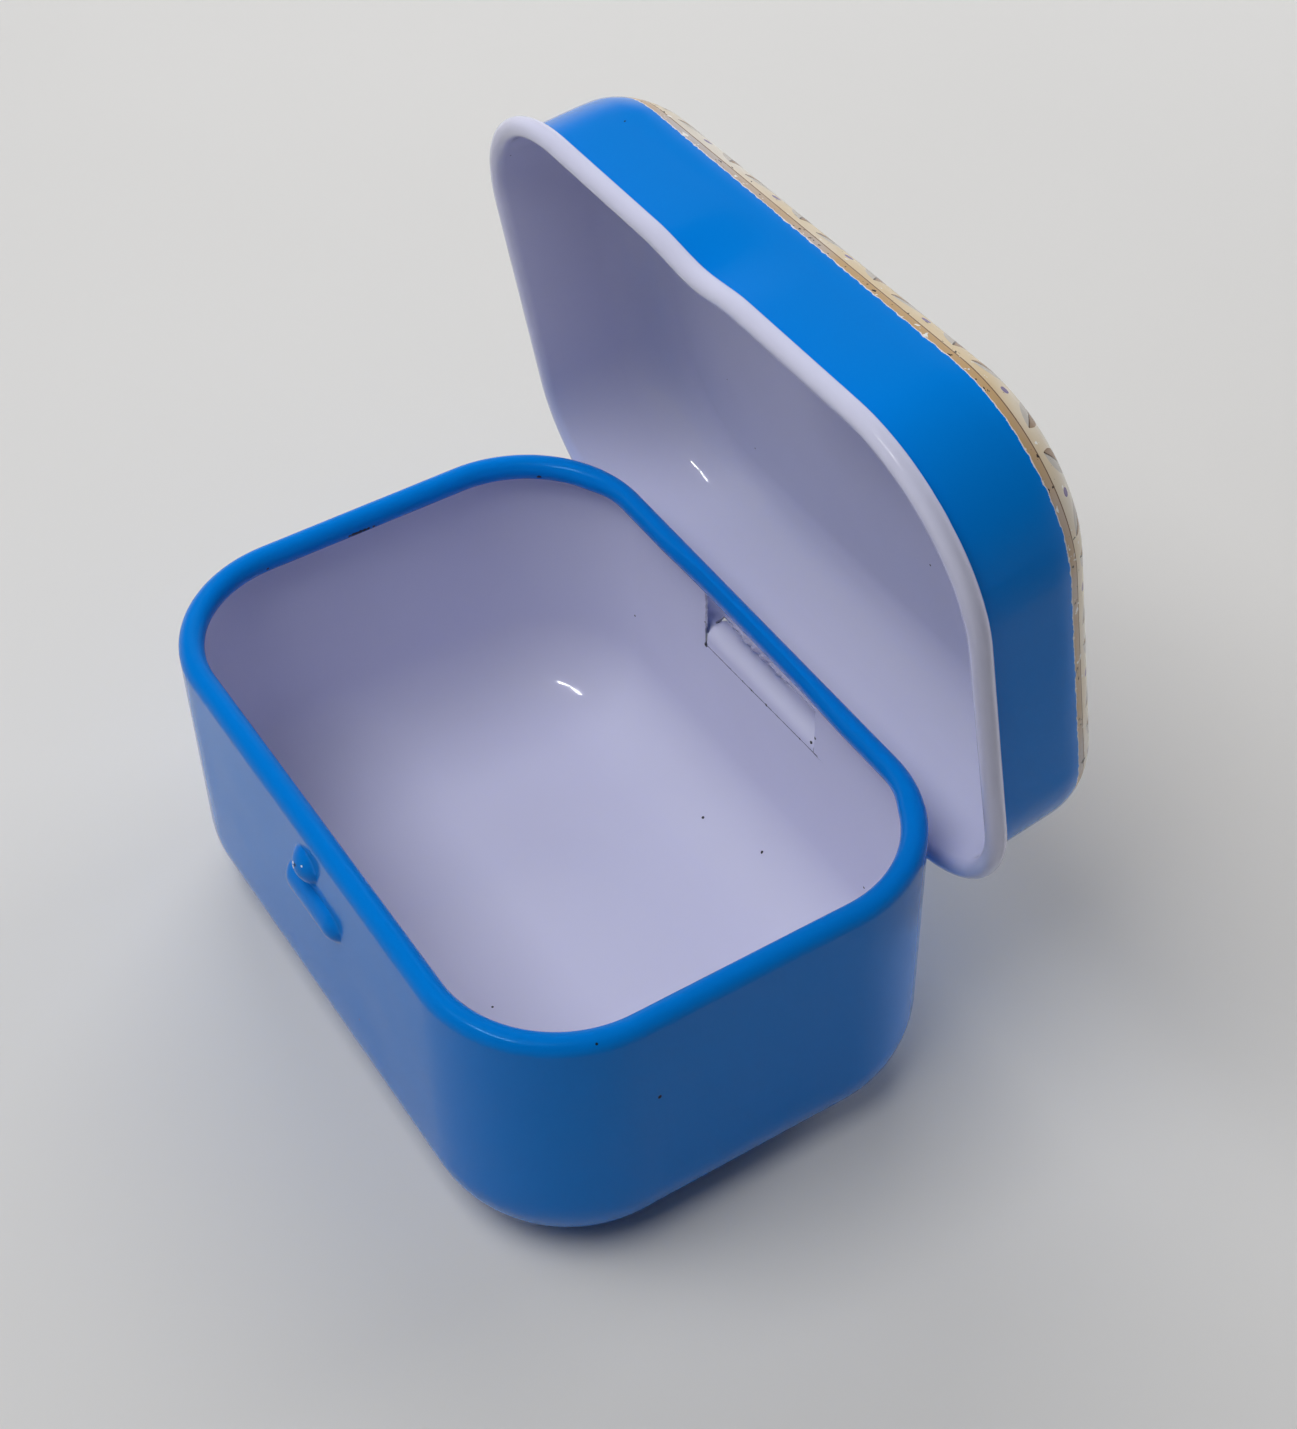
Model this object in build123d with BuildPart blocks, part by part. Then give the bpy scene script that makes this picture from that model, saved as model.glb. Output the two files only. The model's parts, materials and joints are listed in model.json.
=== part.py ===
from build123d import *
from math import atan2, cos, radians, sin, sqrt
import os

# A small hinged tin of drawn tinplate, in millimetres.
# The origin is the centre of the flat underside. X runs along the long side, the front with its
# catch faces -Y, and the hinge is at the back. The lid stands in its open position, on its stop.
# The real tin is two stampings. Each is written as the shell that the press drew and the
# edges that were curled or folded from it afterwards, which meet face to face.

# Sheet
sheet = 0.25

# Base
base_length = 68.0
base_width = 47.0
base_height = 30.0
base_corner = 13.2
base_floor_round = 8.0
base_curl_radius = 1.18
base_curl_turn = 308.0

# Catch pressed out of the front wall: a bar, and a round pimple above its left end
catch_x = 1.2
catch_drop = 8.6
catch_length = 9.6
catch_height = 3.4
catch_proud = 0.75
catch_draft = 24.0
pimple_x = 0.65
pimple_drop = 4.4
pimple_radius = 1.9
pimple_proud = 0.5

# Lid
lid_clearance = 0.25
lid_front_gap = 1.7
lid_edge_round = 5.5
lid_seat_clearance = 0.1
lid_height = 13.85
lid_curl_radius = 0.9
lid_curl_turn = 305.0
lid_open_angle = 80.7

# Thumb dent in the lid's front edge, over the catch
dent_half_length = 6.5
dent_depth = 0.75
dent_reach = 8.0
dent_ease_share = 0.4

# Hinge: a tongue cut from the back wall and curled over the lid's edge
tongue_width = 17.6
tongue_side_gap = 0.2
tongue_rise = 1.19
tongue_eye_radius = 1.17
tongue_eye_drop = 0.2
tongue_wrap = 265.0
window_side_gap = 0.4
window_stop_clearance = 0.05

# Cuts run past the sheet by this much
overrun = 2.0

# Places on the base that follow from its size
base_curl_z = base_height - base_curl_radius
catch_z = base_height - catch_drop
pimple_z = base_height - pimple_drop
back_wall_y = base_width / 2
back_wall_middle_y = back_wall_y - sheet / 2

# The lid is level when it is closed. Its rounded edge comes down on the base's curled rim,
# which sets how high its top stands.
seat_run = lid_edge_round - sheet - lid_clearance - base_curl_radius
seat_gap = lid_edge_round - sheet - lid_seat_clearance - base_curl_radius
lid_top_z = base_curl_z - sqrt(seat_gap**2 - seat_run**2) + lid_edge_round

# Hinge axis: the middle of the lid's curled edge at the back
hinge_y = back_wall_y + lid_clearance + lid_curl_radius
hinge_z = lid_top_z - lid_height + lid_curl_radius

# The lid's own plane: its origin lies on the hinge axis, and its z runs to the lid's top
open_tilt = radians(lid_open_angle)
lid_plane = Plane(
    origin=(0, hinge_y, hinge_z),
    x_dir=(1, 0, 0),
    z_dir=(0, sin(open_tilt), cos(open_tilt)),
)
lid_section = Plane(origin=lid_plane.origin, x_dir=lid_plane.y_dir, z_dir=lid_plane.x_dir)
base_section = Plane.YZ

# Outline of the lid's inner wall, seen in its own plane
lid_inner_length = base_length + 2 * lid_clearance
lid_inner_width = base_width + lid_clearance + lid_front_gap
lid_inner_corner = base_corner + lid_clearance
lid_back = -lid_curl_radius
lid_front = lid_back - lid_inner_width
lid_middle = (lid_back + lid_front) / 2
lid_rise = lid_height - lid_curl_radius


def dent_half(face_y, side):
    """Half of the dent's outline: it leaves the straight face and reaches the full depth."""
    ease = dent_ease_share * dent_half_length
    Bezier(
        (side * dent_half_length, face_y),
        (side * (dent_half_length - ease), face_y),
        (side * ease, face_y + dent_depth),
        (0, face_y + dent_depth),
    )


def half_rim(half_length, back, front, corner, dented=False):
    """The right half of a rounded rectangle, from the middle of its back to its front."""
    inner_x = half_length - corner
    Line((0, back), (inner_x, back))
    CenterArc((inner_x, back - corner), corner, 90, -90)
    Line((half_length, back - corner), (half_length, front + corner))
    CenterArc((inner_x, front + corner), corner, 0, -90)
    if dented:
        Line((inner_x, front), (dent_half_length, front))
        dent_half(front, 1)
    else:
        Line((inner_x, front), (0, front))


def curl_profile(middle, radius, start, turn):
    """A rolled strip of sheet seen from its end."""
    outer = CenterArc(middle, radius, start, turn)
    inner = CenterArc(middle, radius - sheet, start, turn)
    Line(outer @ 0, inner @ 0)
    Line(outer @ 1, inner @ 1)


def dent_edge(face_y, far_y):
    """One face of the dented strip along the lid's front edge, closed by a line at far_y."""
    dent_half(face_y, -1)
    dent_half(face_y, 1)
    Polyline(
        (dent_half_length, face_y),
        (dent_half_length, far_y),
        (-dent_half_length, far_y),
        (-dent_half_length, face_y),
    )


# Cap of the pimple that stands out of the front wall
dome_radius = (pimple_radius**2 + pimple_proud**2) / (2 * pimple_proud)
dome_y = dome_radius - pimple_proud - back_wall_y
with BuildPart() as pimple:
    with Locations((pimple_x, dome_y, pimple_z)):
        Sphere(dome_radius)
    split(bisect_by=Plane.XZ.offset(back_wall_middle_y), keep=Keep.TOP)

# Base shell: one drawn cup with a round edge to its floor
with BuildPart() as base_shell:
    with BuildSketch(Plane.XY):
        RectangleRounded(base_length, base_width, base_corner)
    extrude(amount=base_curl_z)
    fillet(base_shell.faces().sort_by(Axis.Z)[0].edges(), base_floor_round)
    offset(amount=-sheet, openings=base_shell.faces().sort_by(Axis.Z)[-1])

    # The slot that the hinge tongue was cut from is as high as the tongue is long
    tongue_middle_radius = tongue_eye_radius + sheet / 2
    tongue_eye_z = hinge_z - tongue_eye_drop
    tongue_crease_z = tongue_eye_z - tongue_rise
    tongue_length = tongue_rise + tongue_middle_radius * radians(tongue_wrap)
    slot_width = tongue_width + 2 * tongue_side_gap
    with BuildSketch(Plane.XZ.offset(-back_wall_y - overrun)):
        with Locations((0, tongue_crease_z + tongue_length / 2)):
            Rectangle(slot_width, tongue_length)
    extrude(amount=sheet + 2 * overrun, mode=Mode.SUBTRACT)

    # Bar of the catch, pressed outwards and hollow behind
    with BuildSketch(Plane.XZ.offset(back_wall_middle_y)):
        with Locations((catch_x, catch_z)):
            SlotOverall(catch_length, catch_height)
    extrude(amount=catch_proud + sheet / 2, taper=catch_draft)
    bar_top = base_shell.faces().sort_by(Axis.Y)[0]
    fillet(bar_top.edges(), catch_proud / 2)
    with BuildSketch(Plane.XZ.offset(back_wall_y - 2 * sheet)):
        with Locations((catch_x, catch_z)):
            SlotOverall(catch_length - 2 * sheet, catch_height - 2 * sheet)
    extrude(amount=catch_proud + sheet, taper=catch_draft, mode=Mode.SUBTRACT)

    # Pimple of the catch, a shallow dome of the same sheet
    add(pimple.part)
    with Locations((pimple_x, dome_y, pimple_z)):
        Sphere(dome_radius - sheet, mode=Mode.SUBTRACT)
base_shell.part.label = "base_shell"

# Base rim: the top edge of the wall, curled inwards over a full turn
with BuildPart() as base_rim_curl:
    curl_y = back_wall_y - base_curl_radius
    with BuildLine(Plane.XY.offset(base_curl_z)) as base_rim_path:
        half_rim(
            base_length / 2 - base_curl_radius,
            curl_y,
            -curl_y,
            base_corner - base_curl_radius,
        )
    with BuildSketch(base_section):
        with BuildLine():
            curl_profile((curl_y, base_curl_z), base_curl_radius, 0, base_curl_turn)
        make_face()
    sweep(path=base_rim_path.wire())
    mirror(about=Plane.YZ)
base_rim_curl.part.label = "base_rim_curl"

# Hinge tongue: it rises from its crease in the plane of the wall and curls over the lid's edge
with BuildPart() as hinge_tongue:
    eye_y = back_wall_middle_y + tongue_middle_radius
    outer_radius = tongue_eye_radius + sheet
    with BuildSketch(base_section):
        with BuildLine():
            back = CenterArc((eye_y, tongue_eye_z), outer_radius, 180, -tongue_wrap)
            face = CenterArc((eye_y, tongue_eye_z), tongue_eye_radius, 180, -tongue_wrap)
            Line(back @ 1, face @ 1)
            Polyline(
                back @ 0,
                (back_wall_y - sheet, tongue_crease_z),
                (back_wall_y, tongue_crease_z),
                face @ 0,
            )
        make_face()
    extrude(amount=tongue_width / 2, both=True)
hinge_tongue.part.label = "hinge_tongue"

# Strip of the lid's front wall that the thumb dent draws inwards. The dent leans outwards as it
# rises, so it runs out into the flat wall at its top.
dent_rise = lid_plane.z_dir * dent_reach - lid_plane.y_dir * dent_depth
dent_plane = Plane(
    origin=lid_plane.from_local_coords((0, lid_front, 0)),
    x_dir=lid_plane.x_dir,
    z_dir=lid_plane.y_dir,
)
with BuildPart() as dent_room:
    with BuildSketch(lid_plane):
        with BuildLine():
            dent_edge(lid_front, lid_front + dent_depth + overrun)
        make_face()
    extrude(amount=dent_rise.length, dir=dent_rise)
    split(bisect_by=dent_plane, keep=Keep.TOP)

with BuildPart() as dent_strip:
    with BuildSketch(lid_plane):
        with Locations((0, lid_front + (dent_depth - sheet) / 2)):
            Rectangle(2 * dent_half_length, dent_depth + sheet)
    extrude(amount=dent_reach)
    with BuildSketch(lid_plane):
        with BuildLine():
            dent_edge(lid_front - sheet, lid_front - sheet - overrun)
        make_face()
    extrude(amount=dent_rise.length, dir=dent_rise, mode=Mode.SUBTRACT)
    add(dent_room.part, mode=Mode.SUBTRACT)

# The window's upper edge meets the back of the tongue when the lid is fully open.
# Where it comes to is found on the tongue's outer circle, seen from the hinge axis.
wall_run = lid_curl_radius - sheet
eye_run = eye_y - hinge_y
window_height = tongue_eye_radius
for _ in range(12):
    edge_angle = radians(90 - lid_open_angle) + atan2(wall_run, window_height)
    along = eye_run * cos(edge_angle) - tongue_eye_drop * sin(edge_angle)
    across = eye_run**2 + tongue_eye_drop**2 - along**2
    stop_radius = along + sqrt(outer_radius**2 - across) + window_stop_clearance
    window_height = sqrt(stop_radius**2 - wall_run**2)

# Lid shell: one drawn cap with a round top edge, open towards the base
with BuildPart() as lid_shell:
    with BuildSketch(lid_plane):
        with Locations((0, lid_middle)):
            RectangleRounded(
                lid_inner_length + 2 * sheet,
                lid_inner_width + 2 * sheet,
                lid_inner_corner + sheet,
            )
    extrude(amount=lid_rise)
    lid_axis = Axis(lid_plane.origin, lid_plane.z_dir)
    fillet(lid_shell.faces().sort_by(lid_axis)[-1].edges(), lid_edge_round)
    offset(amount=-sheet, openings=lid_shell.faces().sort_by(lid_axis)[0])

    # Window in the back wall for the tongue, down to the curled edge that it holds
    with BuildSketch(lid_plane):
        with Locations((0, lid_back)):
            Rectangle(tongue_width + 2 * window_side_gap, sheet + 2 * overrun)
    extrude(amount=window_height, mode=Mode.SUBTRACT)

    # The dented strip takes the place of the flat wall over the catch
    with BuildSketch(lid_plane):
        with Locations((0, lid_front)):
            Rectangle(2 * dent_half_length, 2 * overrun)
    extrude(amount=dent_reach, mode=Mode.SUBTRACT)
    add(dent_strip.part)
lid_shell.part.label = "lid_shell"

# Lid rim: the bottom edge of the lid, curled outwards, which is also the hinge's pin
with BuildPart() as lid_rim_curl:
    with BuildLine(lid_plane) as lid_rim_path:
        half_rim(
            lid_inner_length / 2 + lid_curl_radius,
            lid_back + lid_curl_radius,
            lid_front - lid_curl_radius,
            lid_inner_corner + lid_curl_radius,
            dented=True,
        )
    with BuildSketch(lid_section):
        with BuildLine():
            curl_profile((0, 0), lid_curl_radius, 180, lid_curl_turn)
        make_face()
    sweep(path=lid_rim_path.wire())
    mirror(about=Plane.YZ)
lid_rim_curl.part.label = "lid_rim_curl"

os.makedirs("parts", exist_ok=True)
export_step(base_shell.part, "parts/base_shell.step")
export_step(base_rim_curl.part, "parts/base_rim_curl.step")
export_step(hinge_tongue.part, "parts/hinge_tongue.step")
export_step(lid_shell.part, "parts/lid_shell.step")
export_step(lid_rim_curl.part, "parts/lid_rim_curl.step")
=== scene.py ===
import json
from collections import namedtuple
from math import acos, cos, pi, radians, sin

import bmesh
import bpy
from mathutils import Matrix, Vector, noise


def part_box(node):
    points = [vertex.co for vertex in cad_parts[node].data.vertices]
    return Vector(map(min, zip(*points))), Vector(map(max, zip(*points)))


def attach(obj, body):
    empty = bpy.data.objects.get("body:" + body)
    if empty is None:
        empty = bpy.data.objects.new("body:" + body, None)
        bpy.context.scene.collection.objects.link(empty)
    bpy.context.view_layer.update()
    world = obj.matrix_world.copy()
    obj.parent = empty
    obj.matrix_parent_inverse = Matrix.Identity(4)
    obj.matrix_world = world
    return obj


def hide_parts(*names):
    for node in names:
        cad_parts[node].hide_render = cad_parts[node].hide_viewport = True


# A small hinged tin, drawn from lacquered tinplate: blue outside, white inside, with a printed lid.
# Lengths are in millimetres, and every mesh is turned to metres as it is made.

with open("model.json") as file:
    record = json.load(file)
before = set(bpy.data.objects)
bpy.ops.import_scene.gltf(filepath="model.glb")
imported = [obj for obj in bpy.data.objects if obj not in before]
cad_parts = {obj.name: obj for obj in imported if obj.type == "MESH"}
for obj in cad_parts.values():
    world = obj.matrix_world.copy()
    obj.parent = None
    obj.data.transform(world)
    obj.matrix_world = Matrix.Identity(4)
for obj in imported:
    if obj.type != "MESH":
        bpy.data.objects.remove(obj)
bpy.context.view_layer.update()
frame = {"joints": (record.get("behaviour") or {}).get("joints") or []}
MM = 0.001


def node_box(name):
    """Lowest and highest corner of a CAD node, in millimetres."""
    low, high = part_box(name)
    return low / MM, high / MM


# Sizes read from the frame
rim_low, rim_high = node_box("base_rim_curl")
base_half_x = rim_high.x
base_half_y = rim_high.y
base_height = rim_high.z
rim_radius = (rim_high.z - rim_low.z) / 2
tongue_half = node_box("hinge_tongue")[1].x
hinge = frame["joints"][0]
hinge_place = Vector(hinge["pos_m"]) / MM
open_tilt = radians(hinge["range_deg"][1])

# Sheet and base
sheet = 0.25
base_corner = 13.2
floor_round = 8.0
rim_turn = 308.0
rim_z = base_height - rim_radius
rim_pinch_back = 0.35
rim_pinch_slot = 0.3
pinch_turn = 0.1
pinch_reach = 1.7
floor_insets = [12.6, 11.4, 9.8]

# Catch in the front wall: a bar and a pimple, pressed out as soft rounds
bar_x = 1.2
bar_z = 21.4
bar_length = 9.6
bar_height = 3.4
bar_proud = 0.95
pimple_x = 0.65
pimple_z = 25.6
pimple_radius = 1.9
pimple_proud = 1.1
press_fullness = 0.8

# Lid, in its own frame: the origin is on the hinge axis, y runs outwards at the back, z to the top
lid_clearance = 0.25
lid_front_gap = 1.7
lid_edge_round = 5.5
lid_bead_radius = 0.9
lid_bead_turn = 305.0
lid_rise = 12.95
lid_corner = base_corner + lid_clearance + sheet
lid_half_x = base_half_x + lid_clearance + sheet
lid_back = sheet - lid_bead_radius
lid_front = -lid_bead_radius - 2 * base_half_y - lid_clearance - lid_front_gap - sheet
lid_middle = (lid_back + lid_front) / 2
top_insets = [13.2, 11.6, 9.8, 7.6]

# Thumb dent in the lid's front
dent_half = 6.5
dent_depth = 0.75
dent_reach = 8.0

# The lid isn't quite square: its top is drawn in towards the far front corner
lean_from = 22.0
lean_top = 0.018
lean_top_from = 6.0
lean_corner_from = -20.0
lean_corner = 1.4
lean_end = 0.5
lean_end_from = 10.0
lean_fade = 7.5

# Nicks that wear has left in the lid's bead
bead_nicks = [Vector((29.6, -47.3, 0.8)), Vector((31.3, -45.8, 0.8))]
nick_radius = 0.9
nick_depth = 0.2

# Hinge: tongue, the slot that it was cut from, and the lid's window with its torn upper edge
eye_radius = 1.17
eye_drop = 0.2
eye_wrap = 265.0
tongue_shift = 0.12
slot_half = tongue_half + 0.2
slot_top = 26.08
slot_tear = 0.12
fold_z = 19.5
fold_slope = 0.035
window_half = tongue_half + 0.4
window_height = 1.19
burr_left = -8.0
burr_right = 3.0
burr_left_fade = 1.5
burr_right_fade = 3.0
burr_rise = 0.4
burr_least = 0.3
burr_ragged = 0.55
burr_forward = 1.25
tear_grain = 0.45

# Printed lid: the picture wraps over the round edge and ends this far below the top
print_drop = 3.6
border_leaves = 42

# Mesh steps
fine_step = 0.15
burr_step = 0.2
cut_step = 0.4
plain_step = 1.6
corner_steps = 40
round_steps = 14
curl_steps = 40
wrap_steps = 36

# A wall faces square to the front or the back where its normal's y is beyond this
square_on = 0.99


# Mesh making

Stop = namedtuple("Stop", "x y nx ny")
Row = namedtuple("Row", "inset height out up")
no_push = Vector((0, 0, 0))


def steps(low, high, step):
    """Even places from low up to high, not counting high."""
    count = max(1, round(abs(high - low) / step))
    return [low + (high - low) * i / count for i in range(count)]


def smooth(share):
    """0 to 1 with soft ends, for a share that may lie outside that range."""
    share = min(1.0, max(0.0, share))
    return share * share * (3 - 2 * share)


def straight_places(inner_x, spans):
    """Places along the front and the back: finer steps where something is pressed or cut."""
    places = []
    low = -inner_x
    for start, end, step in spans:
        if start > low:
            places += steps(low, start, plain_step)
        places += steps(start, end, step)
        low = end
    return places + steps(low, inner_x, plain_step) + [inner_x]


def outline(half_x, back, front, corner, places):
    """Places round a rounded rectangle, counter-clockwise from above, each with its outward normal.
    The places along the front and the back are given, so that cuts and dents fall on them."""
    inner_x = half_x - corner

    def arc(middle_x, middle_y, start):
        turns = [radians(start + 90 * i / corner_steps) for i in range(1, corner_steps)]
        return [Stop(middle_x + corner * cos(a), middle_y + corner * sin(a), cos(a), sin(a)) for a in turns]

    low_y = front + corner
    high_y = back - corner
    side = steps(low_y, high_y, plain_step) + [high_y]
    stops = [Stop(x, front, 0, -1) for x in places]
    stops += arc(inner_x, low_y, -90)
    stops += [Stop(half_x, y, 1, 0) for y in side]
    stops += arc(inner_x, high_y, 0)
    stops += [Stop(x, back, 0, 1) for x in reversed(places)]
    stops += arc(-inner_x, high_y, 90)
    stops += [Stop(-half_x, y, -1, 0) for y in reversed(side)]
    stops += arc(-inner_x, low_y, 180)
    return stops


def shell_rows(flat_insets, radius, heights, flat_height, way):
    """Rows of a shell's outer face: in from the flat end, round its edge and along its wall."""
    rows = [Row(inset, flat_height, 0.0, -way) for inset in flat_insets]
    for i in range(round_steps + 1):
        a = pi / 2 * i / round_steps
        height = flat_height + way * radius * (1 - cos(a))
        rows.append(Row(radius - radius * sin(a), height, sin(a), -way * cos(a)))
    rows += [Row(0.0, height, 1.0, 0.0) for height in heights]
    return rows


def unrolled(rows):
    """How far inside the wall each row would lie if the sheet were still flat."""
    reach = [rows[0].inset]
    for before, row in zip(rows, rows[1:]):
        reach.append(reach[-1] - Vector((row.inset - before.inset, row.height - before.height)).length)
    return reach


def finish_mesh(name, bm, materials, placing=Matrix.Identity(4), sharp_deg=38.0):
    """Normals, metres, place, smooth faces and materials of a mesh."""
    bmesh.ops.recalc_face_normals(bm, faces=bm.faces)
    mesh = bpy.data.meshes.new(name)
    bm.to_mesh(mesh)
    bm.free()
    mesh.transform(Matrix.Scale(MM, 4) @ placing)
    mesh.shade_smooth()
    mesh.set_sharp_from_angle(angle=radians(sharp_deg))
    for material in materials:
        mesh.materials.append(material)
    piece = bpy.data.objects.new(name, mesh)
    bpy.context.scene.collection.objects.link(piece)
    return piece


def shell(name, stops, rows, push, is_cut, materials, placing=Matrix.Identity(4), printed=False):
    """A drawn shell of sheet: outer face, inner face, and the sheet's edge wherever it ends.
    A printed shell also keeps where each corner of its outer face lay on the flat sheet."""
    bm = bmesh.new()
    outer_slot, inner_slot, edge_slot = 0, 1, 2
    count = len(stops)

    def skin(depth):
        grid = []
        for row in rows:
            away = row.inset + depth * row.out
            height = row.height - depth * row.up
            ring = []
            for stop in stops:
                place = Vector((stop.x - stop.nx * away, stop.y - stop.ny * away, height))
                ring.append(bm.verts.new(place + push(place, stop)))
            grid.append(ring)
        return grid

    def face(corners, slot):
        made = bm.faces.new(corners)
        made.material_index = slot
        return made

    def is_open(r, c):
        middle_x = (stops[c].x + stops[(c + 1) % count].x) / 2
        middle_height = (rows[r].height + rows[r + 1].height) / 2
        facing = (stops[c].ny + stops[(c + 1) % count].ny) / 2
        return is_cut(middle_x, middle_height, facing)

    outer = skin(0.0)
    inner = skin(sheet)
    cells = [(r, c) for r in range(len(rows) - 1) for c in range(count)]
    cut = {cell for cell in cells if is_open(*cell)}
    outside = [(face(outer[0], outer_slot), [(0, c) for c in range(count)])]
    face(inner[0], inner_slot)
    for r, c in cells:
        if (r, c) in cut:
            continue
        d = (c + 1) % count
        made = face((outer[r][c], outer[r][d], outer[r + 1][d], outer[r + 1][c]), outer_slot)
        outside.append((made, [(r, c), (r, c + 1), (r + 1, c + 1), (r + 1, c)]))
        face((inner[r][c], inner[r + 1][c], inner[r + 1][d], inner[r][d]), inner_slot)

    # The sheet's edge, round the open end and round what is cut out
    last = len(rows) - 2
    ends = [((last + 1, c), (last + 1, (c + 1) % count)) for c in range(count) if (last, c) not in cut]
    for r, c in cut:
        d = (c + 1) % count
        beside = (
            ((r - 1, c), ((r, c), (r, d))),
            ((r + 1, c), ((r + 1, c), (r + 1, d))),
            ((r, (c - 1) % count), ((r, c), (r + 1, c))),
            ((r, d), ((r, d), (r + 1, d))),
        )
        ends += [edge for cell, edge in beside if cell not in cut and cell[0] <= last]
    for (r1, c1), (r2, c2) in ends:
        face((outer[r1][c1], outer[r2][c2], inner[r2][c2], inner[r1][c1]), edge_slot)

    if printed:
        flat_map = bm.loops.layers.uv.new("print_flat")
        border_map = bm.loops.layers.uv.new("print_border")
        inward = unrolled(rows)
        run = [0.0]
        for a, b in zip(stops, stops[1:] + stops[:1]):
            run.append(run[-1] + Vector((b.x - a.x, b.y - a.y)).length)
        for made, spots in outside:
            for loop, (r, c) in zip(made.loops, spots):
                stop = stops[c % count]
                flat_x = stop.x - stop.nx * inward[r]
                flat_y = stop.y - stop.ny * inward[r]
                loop[flat_map].uv = (flat_x, flat_y - lid_middle)
                loop[border_map].uv = (run[c] / run[-1] * border_leaves, inward[r])
    loose = [v for v in bm.verts if not v.link_faces]
    bmesh.ops.delete(bm, geom=loose, context="VERTS")
    return finish_mesh(name, bm, materials, placing)


def curl(name, stops, inset, height, radius, start, turn, push, materials, placing=Matrix.Identity(4)):
    """A rolled edge of sheet that follows an outline: convex face, hollow face and cut edge."""
    bm = bmesh.new()
    convex_slot, hollow_slot, edge_slot = 0, 1, 2
    angles = [radians(start + turn * i / curl_steps) for i in range(curl_steps + 1)]
    section = [(radius, a) for a in angles] + [(radius - sheet, a) for a in reversed(angles)]
    rings = []
    for stop in stops:
        ring = []
        for reach, a in section:
            away = reach * cos(a) - inset
            place = Vector((stop.x + stop.nx * away, stop.y + stop.ny * away, height + reach * sin(a)))
            ring.append(bm.verts.new(place + push(place, stop)))
        rings.append(ring)
    for ring, following in zip(rings, rings[1:] + rings[:1]):
        for k in range(len(section)):
            n = (k + 1) % len(section)
            made = bm.faces.new((ring[k], following[k], following[n], ring[n]))
            if k < curl_steps:
                made.material_index = convex_slot
            elif curl_steps < k < len(section) - 1:
                made.material_index = hollow_slot
            else:
                made.material_index = edge_slot
    return finish_mesh(name, bm, materials, placing)


def bent_strip(name, convex, hollow, xs, lift, materials):
    """A bent strip of sheet, as wide as xs, between its convex and its hollow face."""
    bm = bmesh.new()
    convex_slot, hollow_slot, edge_slot = 0, 1, 2
    section = convex + hollow[::-1]
    half = len(convex)
    rings = [[bm.verts.new((x, y, z + lift(x, z))) for y, z in section] for x in xs]
    for ring, following in zip(rings, rings[1:]):
        for k in range(len(section)):
            n = (k + 1) % len(section)
            made = bm.faces.new((ring[k], following[k], following[n], ring[n]))
            if k in (half - 1, len(section) - 1):
                made.material_index = edge_slot
            else:
                made.material_index = convex_slot if k < half - 1 else hollow_slot
    for ring in (rings[0], rings[-1]):
        for k in range(half - 1):
            made = bm.faces.new((ring[k], ring[k + 1], ring[-k - 2], ring[-k - 1]))
            made.material_index = edge_slot
    return finish_mesh(name, bm, materials)


# Materials

Lacquer = namedtuple("Lacquer", "colour drift_colour glint roughness ior")
blue = Lacquer("#007BD8", "#0077D4", "#8CD2FF", 0.14, 1.28)
white = Lacquer("#D3D5EC", "#D0D0E8", "#FFFFFF", 0.09, 1.4)
# A darker grey-violet, painted in a thin line along the tongue's fold
fold_line_grey = "#686A80"
dark_metal = "#1B1C22"
# Pale tin for the rubbed spots, painted bright as a painted highlight for their glints
bright_tin_glint = "#F1F6FA"

# Chips in the lacquer: x, y, z and radius, with the tin open
blue_chips = [
    (34.0, -9.3, 20.3, 0.18),
    (33.0, -14.3, 29.7, 0.1),
    (28.4, 18.4, 28.9, 0.3),
    (-29.1, 17.2, 28.5, 0.22),
    (-31.7, -2.1, 28.4, 0.16),
    (-31.7, -1.7, 28.4, 0.22),
    (-31.7, -1.3, 28.4, 0.26),
    (-31.7, -0.9, 28.4, 0.26),
    (-31.7, -0.5, 28.4, 0.24),
    (-31.7, -0.1, 28.4, 0.2),
    (-31.7, 0.5, 28.4, 0.16),
    (-31.6, -10.7, 28.6, 0.14),
    (0.65, -24.5, 26.2, 0.15),
]
# Bright spots where the lid has rubbed the pimple through to the tin, painted pale as painted highlights for
# their glints
blue_rubs_and_painted_glints = [
    (0.26, -24.49, 26.12, 0.14),
    (0.4, -24.58, 25.73, 0.18),
    (1.43, -24.21, 26.55, 0.1),
]
lid_chips = [
    (-20.6, 22.8, 70.8, 0.12),
    (30.2, 33.0, 24.5, 0.14),
]
white_chips = [
    (-3.9, 19.6, 1.45, 0.16),
    (4.05, 21.2, 2.8, 0.14),
    (17.6, 23.25, 9.4, 0.14),
    (4.4, -9.2, 0.25, 0.13),
    (9.5, 34.7, 37.5, 0.12),
    (-19.5, 35.9, 30.3, 0.1),
    (-2.6, 23.25, 19.42, 0.13),
    (-1.1, 23.25, 19.46, 0.11),
    (1.3, 23.25, 19.55, 0.16),
    (6.8, 23.25, 19.74, 0.14),
    (8.4, 23.36, 20.6, 0.16),
    (9.1, 23.3, 21.8, 0.16),
    (-8.9, 23.25, 19.1, 0.22),
    (-9.0, 23.25, 22.0, 0.14),
]


def linear(hex_colour):
    """An sRGB hex colour as linear red, green, blue and alpha."""
    parts = [int(hex_colour[i : i + 2], 16) / 255 for i in (1, 3, 5)]
    return [c / 12.92 if c <= 0.04045 else ((c + 0.055) / 1.055) ** 2.4 for c in parts] + [1.0]


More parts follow.
